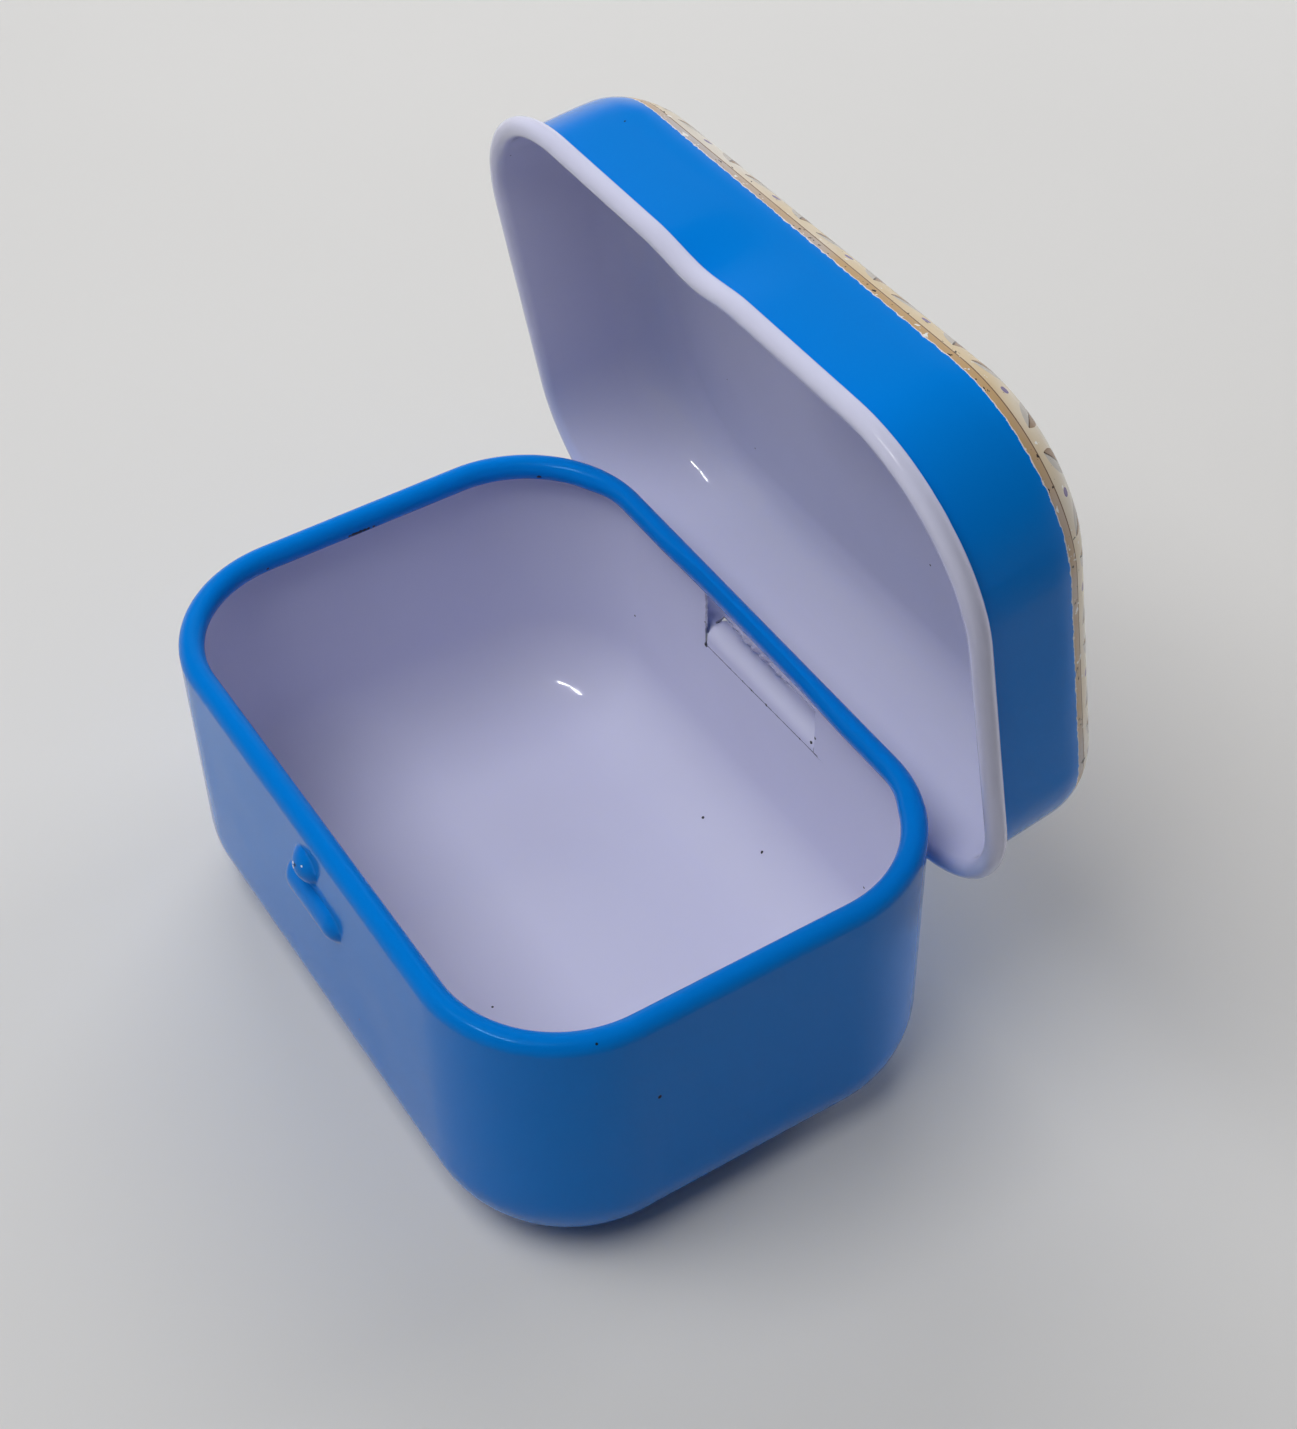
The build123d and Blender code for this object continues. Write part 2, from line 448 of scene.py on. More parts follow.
def add(tree, kind, inputs=None, **settings):
    """Adds a node with its settings. An input is given a value, or the output that feeds it.
    On a colour Mix the inputs are 0 the share, 6 and 7 the colours, and output 2 is the colour."""
    node = tree.nodes.new("ShaderNode" + kind)
    for key, value in settings.items():
        setattr(node, key, value)
    for key, value in (inputs or {}).items():
        if isinstance(value, bpy.types.NodeSocket):
            tree.links.new(value, node.inputs[key])
        else:
            node.inputs[key].default_value = value
    return node


def lay_over(tree, ground, layers):
    """Lays each colour over the ground where its mask is 1, in turn."""
    for mask, colour in layers:
        ground = add(tree, "Mix", {0: mask, 6: ground, 7: colour}, data_type="RGBA").outputs[2]
    return ground


def new_material(name):
    """An empty material with its shader and output, and its object coordinates in millimetres."""
    material = bpy.data.materials.new(name)
    material.use_nodes = True
    tree = material.node_tree
    tree.nodes.clear()
    shader = add(tree, "BsdfPrincipled")
    add(tree, "OutputMaterial", {"Surface": shader.outputs[0]})
    place = add(tree, "TexCoord").outputs["Object"]
    scaled = add(tree, "VectorMath", {0: place, "Scale": 1 / MM}, operation="SCALE").outputs[0]
    return material, tree, shader, scaled


def chip_mask(tree, place, chips):
    """1 inside any of the chips, each (x, y, z, radius) in millimetres, with a torn outline."""
    grain_mm = 0.3
    swing = 1.4
    least = 0.3
    tear = add(tree, "TexNoise", {"Vector": place, "Scale": 1 / grain_mm, "Detail": 2.0}).outputs[0]
    spread = add(tree, "Math", {0: tear, 1: swing, 2: least}, operation="MULTIPLY_ADD").outputs[0]
    mask = None
    for x, y, z, radius in chips:
        away = add(tree, "VectorMath", {0: place, 1: (x, y, z)}, operation="DISTANCE").outputs["Value"]
        reach = add(tree, "Math", {0: spread, 1: radius}, operation="MULTIPLY").outputs[0]
        inside = add(tree, "Math", {0: away, 1: reach}, operation="LESS_THAN").outputs[0]
        if mask is None:
            mask = inside
        else:
            mask = add(tree, "Math", {0: mask, 1: inside}, operation="MAXIMUM").outputs[0]
    return mask


def lacquer_relief(tree, place, shader):
    """Roller-coated lacquer flows out almost flat: a fine orange peel, over the slow waves of thin
    drawn sheet."""
    peel_mm = 0.9
    peel_height_mm = 0.02
    peel_strength = 0.08
    wave_mm = 11.0
    wave_height_mm = 0.35
    wave_strength = 0.5
    peel = add(tree, "TexNoise", {"Vector": place, "Scale": 1 / peel_mm, "Detail": 1.0}).outputs[0]
    wave = add(tree, "TexNoise", {"Vector": place, "Scale": 1 / wave_mm, "Detail": 1.0}).outputs[0]
    settings = {"Strength": wave_strength, "Distance": wave_height_mm * MM, "Height": wave}
    waved = add(tree, "Bump", settings).outputs[0]
    settings = {"Strength": peel_strength, "Distance": peel_height_mm * MM, "Height": peel, "Normal": waved}
    peeled = add(tree, "Bump", settings).outputs[0]
    tree.links.new(peeled, shader.inputs["Normal"])


def top_coat(shader, lacquer):
    """How strongly the lacquer's surface reflects, and in which colour."""
    shader.inputs["IOR"].default_value = lacquer.ior
    shader.inputs["Specular Tint"].default_value = linear(lacquer.glint)


def stoved_lacquer(name, lacquer, chips, fold_line=None, rubs_and_glints=()):
    """Lacquer stoved on tinplate: an even gloss that drifts a little in depth over the sheet, with
    specks and chips where it missed or left the metal, which has gone dark there, and pale tin
    where it is still being rubbed, painted bright as a painted highlight for its glint."""
    material, tree, shader, place = new_material(name)
    drift_mm = 16.0
    haze_mm = 3.0
    haze_swing = 0.08
    bare_roughness = 0.4
    speck_pitch_mm = 9.0
    speck_mm = 0.13
    drift = add(tree, "TexNoise", {"Vector": place, "Scale": 1 / drift_mm, "Detail": 2.0}).outputs[0]
    colours = {0: drift, 6: linear(lacquer.colour), 7: linear(lacquer.drift_colour)}
    drifted = add(tree, "Mix", colours, data_type="RGBA").outputs[2]
    layers = []
    # A thin darker line painted along the tongue's fold
    if fold_line:
        layers.append((fold_line(tree, place), linear(fold_line_grey)))
    # Rubbed tin painted pale: partly wear, partly a painted highlight for its glints
    if rubs_and_glints:
        layers.append((chip_mask(tree, place, rubs_and_glints), linear(bright_tin_glint)))
    cells = add(tree, "TexVoronoi", {"Vector": place, "Scale": 1 / speck_pitch_mm}).outputs["Distance"]
    specks = add(tree, "Math", {0: cells, 1: speck_mm / speck_pitch_mm}, operation="LESS_THAN")
    bare = add(tree, "Math", {0: specks.outputs[0], 1: chip_mask(tree, place, chips)}, operation="MAXIMUM")
    bare = bare.outputs[0]
    layers.append((bare, linear(dark_metal)))
    coat = lay_over(tree, drifted, layers)
    haze = add(tree, "TexNoise", {"Vector": place, "Scale": 1 / haze_mm, "Detail": 3.0}).outputs[0]
    settings = {0: haze, 1: haze_swing, 2: lacquer.roughness - haze_swing / 2}
    hazed = add(tree, "Math", settings, operation="MULTIPLY_ADD").outputs[0]
    rough = add(tree, "Math", {0: bare, 1: bare_roughness, 2: hazed}, operation="MULTIPLY_ADD").outputs[0]
    tree.links.new(coat, shader.inputs["Base Color"])
    tree.links.new(rough, shader.inputs["Roughness"])
    lacquer_relief(tree, place, shader)
    top_coat(shader, lacquer)
    return material


def sheared_tinplate(name):
    """The cut edge of tinplate: bright steel, drawn and torn by the shear."""
    material, tree, shader, place = new_material(name)
    grain_mm = 0.35
    tear_depth_mm = 0.03
    smoothest = 0.22
    rough_swing = 0.3
    tear = add(tree, "TexNoise", {"Vector": place, "Scale": 1 / grain_mm, "Detail": 3.0}).outputs[0]
    colour = add(tree, "Mix", {0: tear, 6: linear("#9C9CA6"), 7: linear("#F2F2F4")}, data_type="RGBA")
    rough = add(tree, "Math", {0: tear, 1: rough_swing, 2: smoothest}, operation="MULTIPLY_ADD").outputs[0]
    settings = {"Strength": 0.5, "Distance": tear_depth_mm * MM, "Height": tear}
    bump = add(tree, "Bump", settings).outputs[0]
    tree.links.new(colour.outputs[2], shader.inputs["Base Color"])
    tree.links.new(rough, shader.inputs["Roughness"])
    tree.links.new(bump, shader.inputs["Normal"])
    shader.inputs["Metallic"].default_value = 1.0
    return material


def tongue_crease(tree, place):
    """The fold where the tongue leaves the wall: a thin darker grey-violet line is painted along it."""
    fold_line_width = 0.13
    fold_line_shift = 0.3
    fold_line_beyond = 0.3
    grain_mm = 0.5
    parts = add(tree, "SeparateXYZ", {0: place}).outputs
    level = add(tree, "Math", {0: parts[0], 1: fold_slope, 2: fold_z}, operation="MULTIPLY_ADD").outputs[0]
    tear = add(tree, "TexNoise", {"Vector": place, "Scale": 1 / grain_mm, "Detail": 2.0}).outputs[0]
    width = add(tree, "Math", {0: tear, 1: fold_line_width}, operation="MULTIPLY").outputs[0]
    on_fold = add(tree, "Math", {0: parts[2], 1: level, 2: width}, operation="COMPARE").outputs[0]
    span = {0: parts[0], 1: fold_line_shift, 2: slot_half + fold_line_beyond}
    along = add(tree, "Math", span, operation="COMPARE").outputs[0]
    inner_y = base_half_y - sheet
    on_wall = add(tree, "Math", {0: parts[1], 1: inner_y, 2: sheet}, operation="COMPARE").outputs[0]
    near = add(tree, "Math", {0: along, 1: on_wall}, operation="MULTIPLY").outputs[0]
    return add(tree, "Math", {0: on_fold, 1: near}, operation="MULTIPLY").outputs[0]


def flower(tree, turned, shift, leaves, middle_share, wave_share):
    """A leafy round shape in each cell of a unit grid: its local place, the distance from its
    middle, the wave of its leaves, and how far it reaches in that direction."""
    moved = add(tree, "VectorMath", {0: turned, 1: (shift, shift, 0)}, operation="ADD").outputs[0]
    inside = add(tree, "VectorMath", {0: moved}, operation="FRACTION").outputs[0]
    local = add(tree, "VectorMath", {0: inside, 1: (0.5, 0.5, 0)}, operation="SUBTRACT").outputs[0]
    flat = add(tree, "VectorMath", {0: local, 1: (1, 1, 0)}, operation="MULTIPLY").outputs[0]
    away = add(tree, "VectorMath", {0: flat}, operation="LENGTH").outputs["Value"]
    parts = add(tree, "SeparateXYZ", {0: flat}).outputs
    angle = add(tree, "Math", {0: parts[1], 1: parts[0]}, operation="ARCTAN2").outputs[0]
    turns = add(tree, "Math", {0: angle, 1: leaves}, operation="MULTIPLY").outputs[0]
    wave = add(tree, "Math", {0: turns}, operation="COSINE").outputs[0]
    reach = add(tree, "Math", {0: wave, 1: wave_share, 2: middle_share}, operation="MULTIPLY_ADD")
    return parts, away, wave, reach.outputs[0]


def rosette_field(tree, flat, ground):
    """The middle of the print: six-petal rosettes in two colours on a diagonal grid of fine lines,
    with a sprig of four leaves where the lines cross."""
    pitch_mm = 7.9
    rosette_rows = 2
    rosette_columns = 4
    line_share = 0.011
    ink_line = 0.012
    petal_rim = 0.026
    rib_share = 0.035
    ring_reach = 0.16
    eye_reach = 0.085
    out_of_reach = 9.0
    settings = {"Vector": flat, "Rotation": (0, 0, pi / 4), "Scale": (1 / pitch_mm, 1 / pitch_mm, 1)}
    turned = add(tree, "Mapping", settings).outputs[0]
    _, away, wave, reach = flower(tree, turned, 0.5, leaves=6.0, middle_share=0.27, wave_share=0.075)
    crossing, sprig_away, _, sprig_reach = flower(
        tree, turned, 0.0, leaves=4.0, middle_share=0.085, wave_share=0.055
    )
    numbered = add(tree, "VectorMath", {0: turned, 1: (0.5, 0.5, 0)}, operation="ADD").outputs[0]
    cell = add(tree, "VectorMath", {0: numbered}, operation="FLOOR").outputs[0]
    count = add(tree, "VectorMath", {0: cell, 1: (1, 1, 0)}, operation="DOT_PRODUCT").outputs["Value"]
    other = add(tree, "Math", {0: count, 1: 2.0}, operation="FLOORED_MODULO").outputs[0]
    row = add(tree, "VectorMath", {0: cell, 1: (-1, 1, 0)}, operation="DOT_PRODUCT").outputs["Value"]
    in_rows = add(tree, "Math", {0: row, 1: 0.0, 2: rosette_rows + 0.5}, operation="COMPARE").outputs[0]
    in_columns = add(tree, "Math", {0: count, 1: 0.0, 2: rosette_columns + 0.5}, operation="COMPARE")
    whole = add(tree, "Math", {0: in_rows, 1: in_columns.outputs[0]}, operation="MULTIPLY").outputs[0]
    settings = {0: whole, 1: -out_of_reach, 2: out_of_reach}
    too_far = add(tree, "Math", settings, operation="MULTIPLY_ADD").outputs[0]
    away = add(tree, "Math", {0: away, 1: too_far}, operation="ADD").outputs[0]
    line_a = add(tree, "Math", {0: crossing[0], 1: 0.0, 2: line_share}, operation="COMPARE").outputs[0]
    line_b = add(tree, "Math", {0: crossing[1], 1: 0.0, 2: line_share}, operation="COMPARE").outputs[0]
    lines = add(tree, "Math", {0: line_a, 1: line_b}, operation="MAXIMUM").outputs[0]
    sprig = add(tree, "Math", {0: sprig_away, 1: sprig_reach}, operation="LESS_THAN").outputs[0]
    rosette = add(tree, "Math", {0: away, 1: reach}, operation="LESS_THAN").outputs[0]
    inner_reach = add(tree, "Math", {0: reach, 1: petal_rim}, operation="SUBTRACT").outputs[0]
    petal = add(tree, "Math", {0: away, 1: inner_reach}, operation="LESS_THAN").outputs[0]
    ridge = add(tree, "Math", {0: wave, 1: 1.0, 2: rib_share}, operation="COMPARE").outputs[0]
    rib = add(tree, "Math", {0: ridge, 1: petal}, operation="MULTIPLY").outputs[0]
    ring = add(tree, "Math", {0: away, 1: ring_reach, 2: ink_line}, operation="COMPARE").outputs[0]
    eye = add(tree, "Math", {0: away, 1: eye_reach}, operation="LESS_THAN").outputs[0]
    eye_edge = add(tree, "Math", {0: away, 1: eye_reach, 2: ink_line}, operation="COMPARE").outputs[0]
    tint = add(tree, "Mix", {0: other, 6: linear("#8F83A8"), 7: linear("#AE9069")}, data_type="RGBA")
    dark = add(tree, "Mix", {0: other, 6: linear("#564A6D"), 7: linear("#684A33")}, data_type="RGBA")
    inks = (
        (lines, linear("#8F7152")),
        (sprig, linear("#85868B")),
        (rosette, dark.outputs[2]),
        (petal, tint.outputs[2]),
        (rib, dark.outputs[2]),
        (ring, dark.outputs[2]),
        (eye, linear("#E4DFD6")),
        (eye_edge, linear("#5A4333")),
    )
    return lay_over(tree, ground, inks)


def leaf_border(tree, border, drift, ground, edge_reach):
    """The edge of the print: a row of leaning leaves and berries on the round of the lid, then a
    dotted mauve band between two brown lines."""
    pitch_mm = 5.1
    leaf_middle = edge_reach + 3.5
    leaf_half = 2.3
    leaf_bow = 2.9
    lean = radians(38)
    rib_half = 0.08
    berry_rise = 1.25
    berry_radius = 0.42
    band_middle = 8.0
    dot_radius = 0.3
    edging_half = 0.4
    parts = add(tree, "SeparateXYZ", {0: border}).outputs
    inward = parts[1]
    turn = add(tree, "Math", {0: parts[0], 1: 1.0}, operation="PINGPONG").outputs[0]
    across = add(tree, "Math", {0: turn, 1: pitch_mm, 2: -pitch_mm / 2}, operation="MULTIPLY_ADD").outputs[0]
    up = add(tree, "Math", {0: inward, 1: leaf_middle}, operation="SUBTRACT").outputs[0]
    local = add(tree, "CombineXYZ", {0: across, 1: up}).outputs[0]
    sideways = (leaf_bow**2 - leaf_half**2) ** 0.5
    side_x = cos(lean)
    side_y = -sin(lean)
    bows = []
    for side in (-sideways, sideways):
        middle = (side * side_x, side * side_y, 0)
        away = add(tree, "VectorMath", {0: local, 1: middle}, operation="DISTANCE").outputs["Value"]
        bows.append(add(tree, "Math", {0: away, 1: leaf_bow}, operation="LESS_THAN").outputs[0])
    leaf = add(tree, "Math", {0: bows[0], 1: bows[1]}, operation="MULTIPLY").outputs[0]
    aside = add(tree, "VectorMath", {0: local, 1: (side_x, side_y, 0)}, operation="DOT_PRODUCT")
    aside = aside.outputs["Value"]
    on_rib = add(tree, "Math", {0: aside, 1: 0.0, 2: rib_half}, operation="COMPARE").outputs[0]
    rib = add(tree, "Math", {0: on_rib, 1: leaf}, operation="MULTIPLY").outputs[0]
    shaded = add(tree, "Math", {0: aside, 1: 0.0}, operation="LESS_THAN").outputs[0]
    leaf_tint = add(tree, "Mix", {0: shaded, 6: linear("#B9B2AA"), 7: linear("#94795F")}, data_type="RGBA")
    berries = []
    for side in (-1, 1):
        middle = (side * pitch_mm / 2, -side * berry_rise, 0)
        away = add(tree, "VectorMath", {0: local, 1: middle}, operation="DISTANCE").outputs["Value"]
        berries.append(add(tree, "Math", {0: away, 1: berry_radius}, operation="LESS_THAN").outputs[0])
    dot_turn = add(tree, "Math", {0: parts[0], 1: 0.5}, operation="PINGPONG").outputs[0]
    dot_x = add(tree, "Math", {0: dot_turn, 1: pitch_mm, 2: -pitch_mm / 4}, operation="MULTIPLY_ADD")
    dot_y = add(tree, "Math", {0: inward, 1: edge_reach + band_middle}, operation="SUBTRACT")
    dot_place = add(tree, "CombineXYZ", {0: dot_x.outputs[0], 1: dot_y.outputs[0]}).outputs[0]
    dot_away = add(tree, "VectorMath", {0: dot_place}, operation="LENGTH").outputs["Value"]
    dots = add(tree, "Math", {0: dot_away, 1: dot_radius}, operation="LESS_THAN").outputs[0]
    edging = add(tree, "Mix", {0: drift, 6: linear("#BC9D74"), 7: linear("#B7AFAE")}, data_type="RGBA")
    span = {0: inward, 1: edge_reach + edging_half, 2: edging_half}
    on_edging = add(tree, "Math", span, operation="COMPARE").outputs[0]
    inks = [
        (on_edging, edging.outputs[2]),
        (leaf, leaf_tint.outputs[2]),
        (rib, linear("#5A4636")),
        (berries[0], linear("#7A6C93")),
        (berries[1], linear("#7A6C93")),
    ]
    for middle, half_width, colour in (
        (0.85, 0.07, "#7C6350"),
        (6.6, 0.13, "#6A4C36"),
        (band_middle, 0.75, "#8577A0"),
        (9.4, 0.13, "#6A4C36"),
    ):
        span = {0: inward, 1: edge_reach + middle, 2: half_width}
        band = add(tree, "Math", span, operation="COMPARE").outputs[0]
        inks.append((band, linear(colour)))
    inks.append((dots, linear("#E6DFD2")))
    return lay_over(tree, ground, inks)


def printed_tinplate(name):
    """The lid's outside: offset print over a white size coat, under varnish, that gives way to the
    blue lacquer along a slightly torn line. The round edge is rubbed, and has lost ink in flecks."""
    material, tree, shader, place = new_material(name)
    edge_reach = lid_edge_round - lid_edge_round * acos(1 - print_drop / lid_edge_round)
    border_width = 10.2
    mottle_mm = 4.0
    fleck_mm = 0.7
    size_coat_mm = 0.1
    tone_mm = 13.0
    tan_below = 0.42
    grey_above = 0.58
    pale_from = 0.66
    pale_fade = 0.02
    dark_from = 0.36
    dark_fade = 0.04
    tear_mm = 0.5
    varnish_haze = 0.1
    flat = add(tree, "UVMap", uv_map="print_flat").outputs[0]
    border = add(tree, "UVMap", uv_map="print_border").outputs[0]
    inward = add(tree, "SeparateXYZ", {0: border}).outputs[1]
    mottle = add(tree, "TexNoise", {"Vector": place, "Scale": 1 / mottle_mm, "Detail": 4.0}).outputs[0]
    tone = add(tree, "TexNoise", {"Vector": place, "Scale": 1 / tone_mm, "Detail": 1.0}).outputs[0]
    span = {"Value": tone, "From Min": tan_below, "From Max": grey_above}
    drift = add(tree, "MapRange", span).outputs[0]
    tan = add(tree, "Mix", {0: mottle, 6: linear("#CCB48C"), 7: linear("#DDCDB0")}, data_type="RGBA")
    grey = add(tree, "Mix", {0: mottle, 6: linear("#CBC1B2"), 7: linear("#E0DACF")}, data_type="RGBA")
    colours = {0: drift, 6: tan.outputs[2], 7: grey.outputs[2]}
    ground = add(tree, "Mix", colours, data_type="RGBA").outputs[2]
    field = rosette_field(tree, flat, ground)
    edging = leaf_border(tree, border, drift, ground, edge_reach)
    in_field = add(tree, "Math", {0: inward, 1: edge_reach + border_width}, operation="GREATER_THAN")
    ink = add(tree, "Mix", {0: in_field.outputs[0], 6: edging, 7: field}, data_type="RGBA").outputs[2]

    # Wear: pale and dark flecks, thickest near the end of the print
    flecks = add(tree, "TexNoise", {"Vector": place, "Scale": 1 / fleck_mm, "Detail": 3.0}).outputs[0]
    from_edge = add(tree, "Math", {0: inward, 1: edge_reach}, operation="SUBTRACT").outputs[0]
    settings = {0: from_edge, 1: pale_fade, 2: pale_from}
    pale_level = add(tree, "Math", settings, operation="MULTIPLY_ADD").outputs[0]
    settings = {0: from_edge, 1: -dark_fade, 2: dark_from}
    dark_level = add(tree, "Math", settings, operation="MULTIPLY_ADD").outputs[0]
    pale = add(tree, "Math", {0: flecks, 1: pale_level}, operation="GREATER_THAN").outputs[0]
    dark = add(tree, "Math", {0: flecks, 1: dark_level}, operation="LESS_THAN").outputs[0]
    ink = lay_over(tree, ink, ((pale, linear("#E3E1DE")), (dark, linear("#3B322F"))))

    tear = add(tree, "Math", {0: flecks, 1: tear_mm, 2: -tear_mm / 2}, operation="MULTIPLY_ADD").outputs[0]
    torn = add(tree, "Math", {0: from_edge, 1: tear}, operation="ADD").outputs[0]
    on_print = add(tree, "Math", {0: torn, 1: 0.0}, operation="GREATER_THAN").outputs[0]
    on_size = add(tree, "Math", {0: torn, 1: -size_coat_mm}, operation="GREATER_THAN").outputs[0]
    bare = chip_mask(tree, place, lid_chips)
    layers = ((on_size, linear("#D9D8DC")), (on_print, ink), (bare, linear(dark_metal)))
    coat = lay_over(tree, linear(blue.colour), layers)
    settings = {0: on_print, 1: varnish_haze, 2: blue.roughness}
    rough = add(tree, "Math", settings, operation="MULTIPLY_ADD").outputs[0]
    tree.links.new(coat, shader.inputs["Base Color"])
    tree.links.new(rough, shader.inputs["Roughness"])
    lacquer_relief(tree, place, shader)
    top_coat(shader, blue)
    return material


blue_lacquer = stoved_lacquer("blue_stoved_lacquer", blue, blue_chips, rubs_and_glints=blue_rubs_and_painted_glints)
white_lacquer = stoved_lacquer("white_stoved_lacquer", white, white_chips, fold_line=tongue_crease)
printed = printed_tinplate("offset_printed_tinplate")
cut_edge = sheared_tinplate("sheared_tinplate_edge")


# Base


def dome(share):
    """Height of a soft pressed round, from 0 at its edge to 1 at its middle."""
    share = min(1.0, max(0.0, share))
    return (1 - (1 - share) ** 2) ** press_fullness


def press_catch(place):
    """How far the catch stands out of the front wall at a place on it."""
    half_run = (bar_length - bar_height) / 2
    along = max(0.0, abs(place.x - bar_x) - half_run)
    from_bar = Vector((along, place.z - bar_z)).length
    from_pimple = Vector((place.x - pimple_x, place.z - pimple_z)).length
    bar = bar_proud * dome(1 - from_bar / (bar_height / 2))
    pimple = pimple_proud * dome(1 - from_pimple / pimple_radius)
    return max(bar, pimple)


def tear_slot(place):
    """How far the slot's left edge is torn out of line, and its lower edge slopes with the fold."""
    on_side = abs(place.x + slot_half) < fine_step and fold_z < place.z < slot_top
    on_fold = abs(place.z - fold_z) < fine_step and abs(place.x) < slot_half + fine_step
    aside = slot_tear * noise.noise(Vector((0, place.y, place.z / tear_grain))) if on_side else 0.0
    return Vector((aside, 0, fold_slope * place.x if on_fold else 0.0))


def work_wall(place, stop):
    if stop.ny < -square_on:
        return Vector((0, -press_catch(place), 0))
    if stop.ny > square_on:
        return tear_slot(place)
    return no_push


def in_slot(x, height, facing):
    return facing > square_on and abs(x) < slot_half and fold_z < height < slot_top


def pinch_rim(place, stop):
    """The curl is rolled tighter along the back, and most over the slot."""
    facing = smooth((stop.ny - (1 - pinch_turn)) / pinch_turn)
    inward = smooth((base_half_y - rim_radius - place.y) / rim_radius)
    over_slot = smooth(pinch_reach - abs(place.x) / slot_half)
    return Vector((0, (rim_pinch_back + rim_pinch_slot * over_slot) * facing * inward, 0))


def make_base(stops):
    catch_low = bar_z - bar_height / 2
    catch_top = pimple_z + pimple_radius
    heights = steps(floor_round, fold_z, plain_step)[1:]
    heights += steps(fold_z, catch_low, cut_step)
    heights += steps(catch_low, slot_top, fine_step)
    heights += steps(slot_top, catch_top, fine_step)
    heights += steps(catch_top, rim_z, cut_step)
    heights.append(rim_z)
    rows = shell_rows(floor_insets, floor_round, heights, 0.0, 1)
    return shell(
        "base_shell_skin", stops, rows, work_wall, in_slot, [blue_lacquer, white_lacquer, cut_edge]
    )


def make_rim(stops):
    return curl(
        "base_rim_curl_skin",
        stops,
        inset=rim_radius,
        height=rim_z,
        radius=rim_radius,
        start=0.0,
        turn=rim_turn,
        push=pinch_rim,
        materials=[blue_lacquer, white_lacquer, cut_edge],
    )


def make_tongue():
    eye_y = base_half_y + eye_radius
    eye_z = hinge_place.z - eye_drop
    wrap = [radians(180 - eye_wrap * i / wrap_steps) for i in range(wrap_steps + 1)]

    def face(depth):
        reach = eye_radius + depth
        turned = [(eye_y + reach * cos(a), eye_z + reach * sin(a)) for a in wrap]
        return [(base_half_y - depth, fold_z)] + turned

    def follow_fold(x, z):
        return fold_slope * x if z == fold_z else 0.0

    left = tongue_shift - tongue_half
    right = tongue_shift + tongue_half
    xs = steps(left, right, cut_step) + [right]
    materials = [white_lacquer, blue_lacquer, cut_edge]
    return bent_strip("hinge_tongue_skin", face(sheet), face(0.0), xs, follow_fold, materials)


# Lid


def dent_front(place):
    """How far the thumb dent draws the front edge inwards: it fades out sideways and up the wall."""
    near = smooth(1 - abs(place.x) / dent_half)
    low = min(1.0, max(0.0, 1 - place.z / dent_reach))
    return dent_depth * near * low


def raise_burr(place):
    """The torn upper edge of the window is bent up and forwards over the tongue."""
    if abs(place.z - window_height) > fine_step or abs(place.x) > window_half:
        return no_push
    from_left = smooth((place.x - burr_left) / burr_left_fade)
    from_right = smooth((burr_right - place.x) / burr_right_fade)
    ends = from_left * from_right
    ragged = burr_ragged * noise.noise(Vector((place.x / tear_grain, place.y, 5.0)))
    rise = burr_rise * (burr_least + (1 - burr_least) * ends) + ragged * ends
    return Vector((0, -burr_forward * rise, -rise))


def lean_lid(place, stop):
    """How far the lid's front is drawn in, at a place on it. The middle of the top stays flat and
    still, and the end wall clears the base's rim."""
    inset = (stop.x - place.x) * stop.nx + (stop.y - place.y) * stop.ny
    near_edge = 1 - smooth((inset - lid_edge_round) / lean_fade)
    near_top = smooth((place.z - lean_top_from) / (lid_rise - lean_top_from))
    at_top = smooth((place.z - lean_end_from) / (lid_rise - lean_end_from))
    along = max(0.0, lean_from - place.x)
    corner = smooth((lean_corner_from - place.x) / (lid_half_x + lean_corner_from))
    facing = max(0.0, -stop.ny)
    inward = lean_top * along * near_top + lean_corner * corner * place.z / lid_rise
    aside = lean_end * corner * at_top * smooth(0.5 - (place.y - lid_middle) / lid_corner)
    return Vector((aside, facing * inward, 0)) * near_edge


def work_lid(place, stop):
    if stop.ny > square_on:
        return raise_burr(place)
    dent = dent_front(place) if stop.ny < -square_on else 0.0
    return lean_lid(place, stop) + Vector((0, dent, 0))


def wear_bead(place, stop):
    """The bead follows the dent, and has been knocked in at the nicks."""
    knock = sum(smooth(1 - (place - nick).length / nick_radius) for nick in bead_nicks)
    dent = dent_front(place) if stop.ny < -square_on else 0.0
    return Vector((0, dent, -nick_depth * knock))


def in_window(x, height, facing):
    return facing > square_on and abs(x) < window_half and height < window_height


def make_lid(stops, placing):
    heights = steps(lid_rise - lid_edge_round, window_height, plain_step)[1:]
    heights += steps(window_height, 0.0, cut_step)
    heights.append(0.0)
    rows = shell_rows(top_insets, lid_edge_round, heights, lid_rise, -1)
    # The window's torn edge is given the white lacquer: partly its own coat, partly a painted highlight for
    # the light the torn edge catches
    materials = [printed, white_lacquer, white_lacquer]
    return shell("lid_shell_skin", stops, rows, work_lid, in_window, materials, placing, printed=True)


def make_bead(stops, placing):
    return curl(
        "lid_rim_curl_skin",
        stops,
        inset=sheet - lid_bead_radius,
        height=0.0,
        radius=lid_bead_radius,
        start=180.0,
        turn=lid_bead_turn,
        push=wear_bead,
        materials=[white_lacquer, blue_lacquer, cut_edge],
        placing=placing,
    )


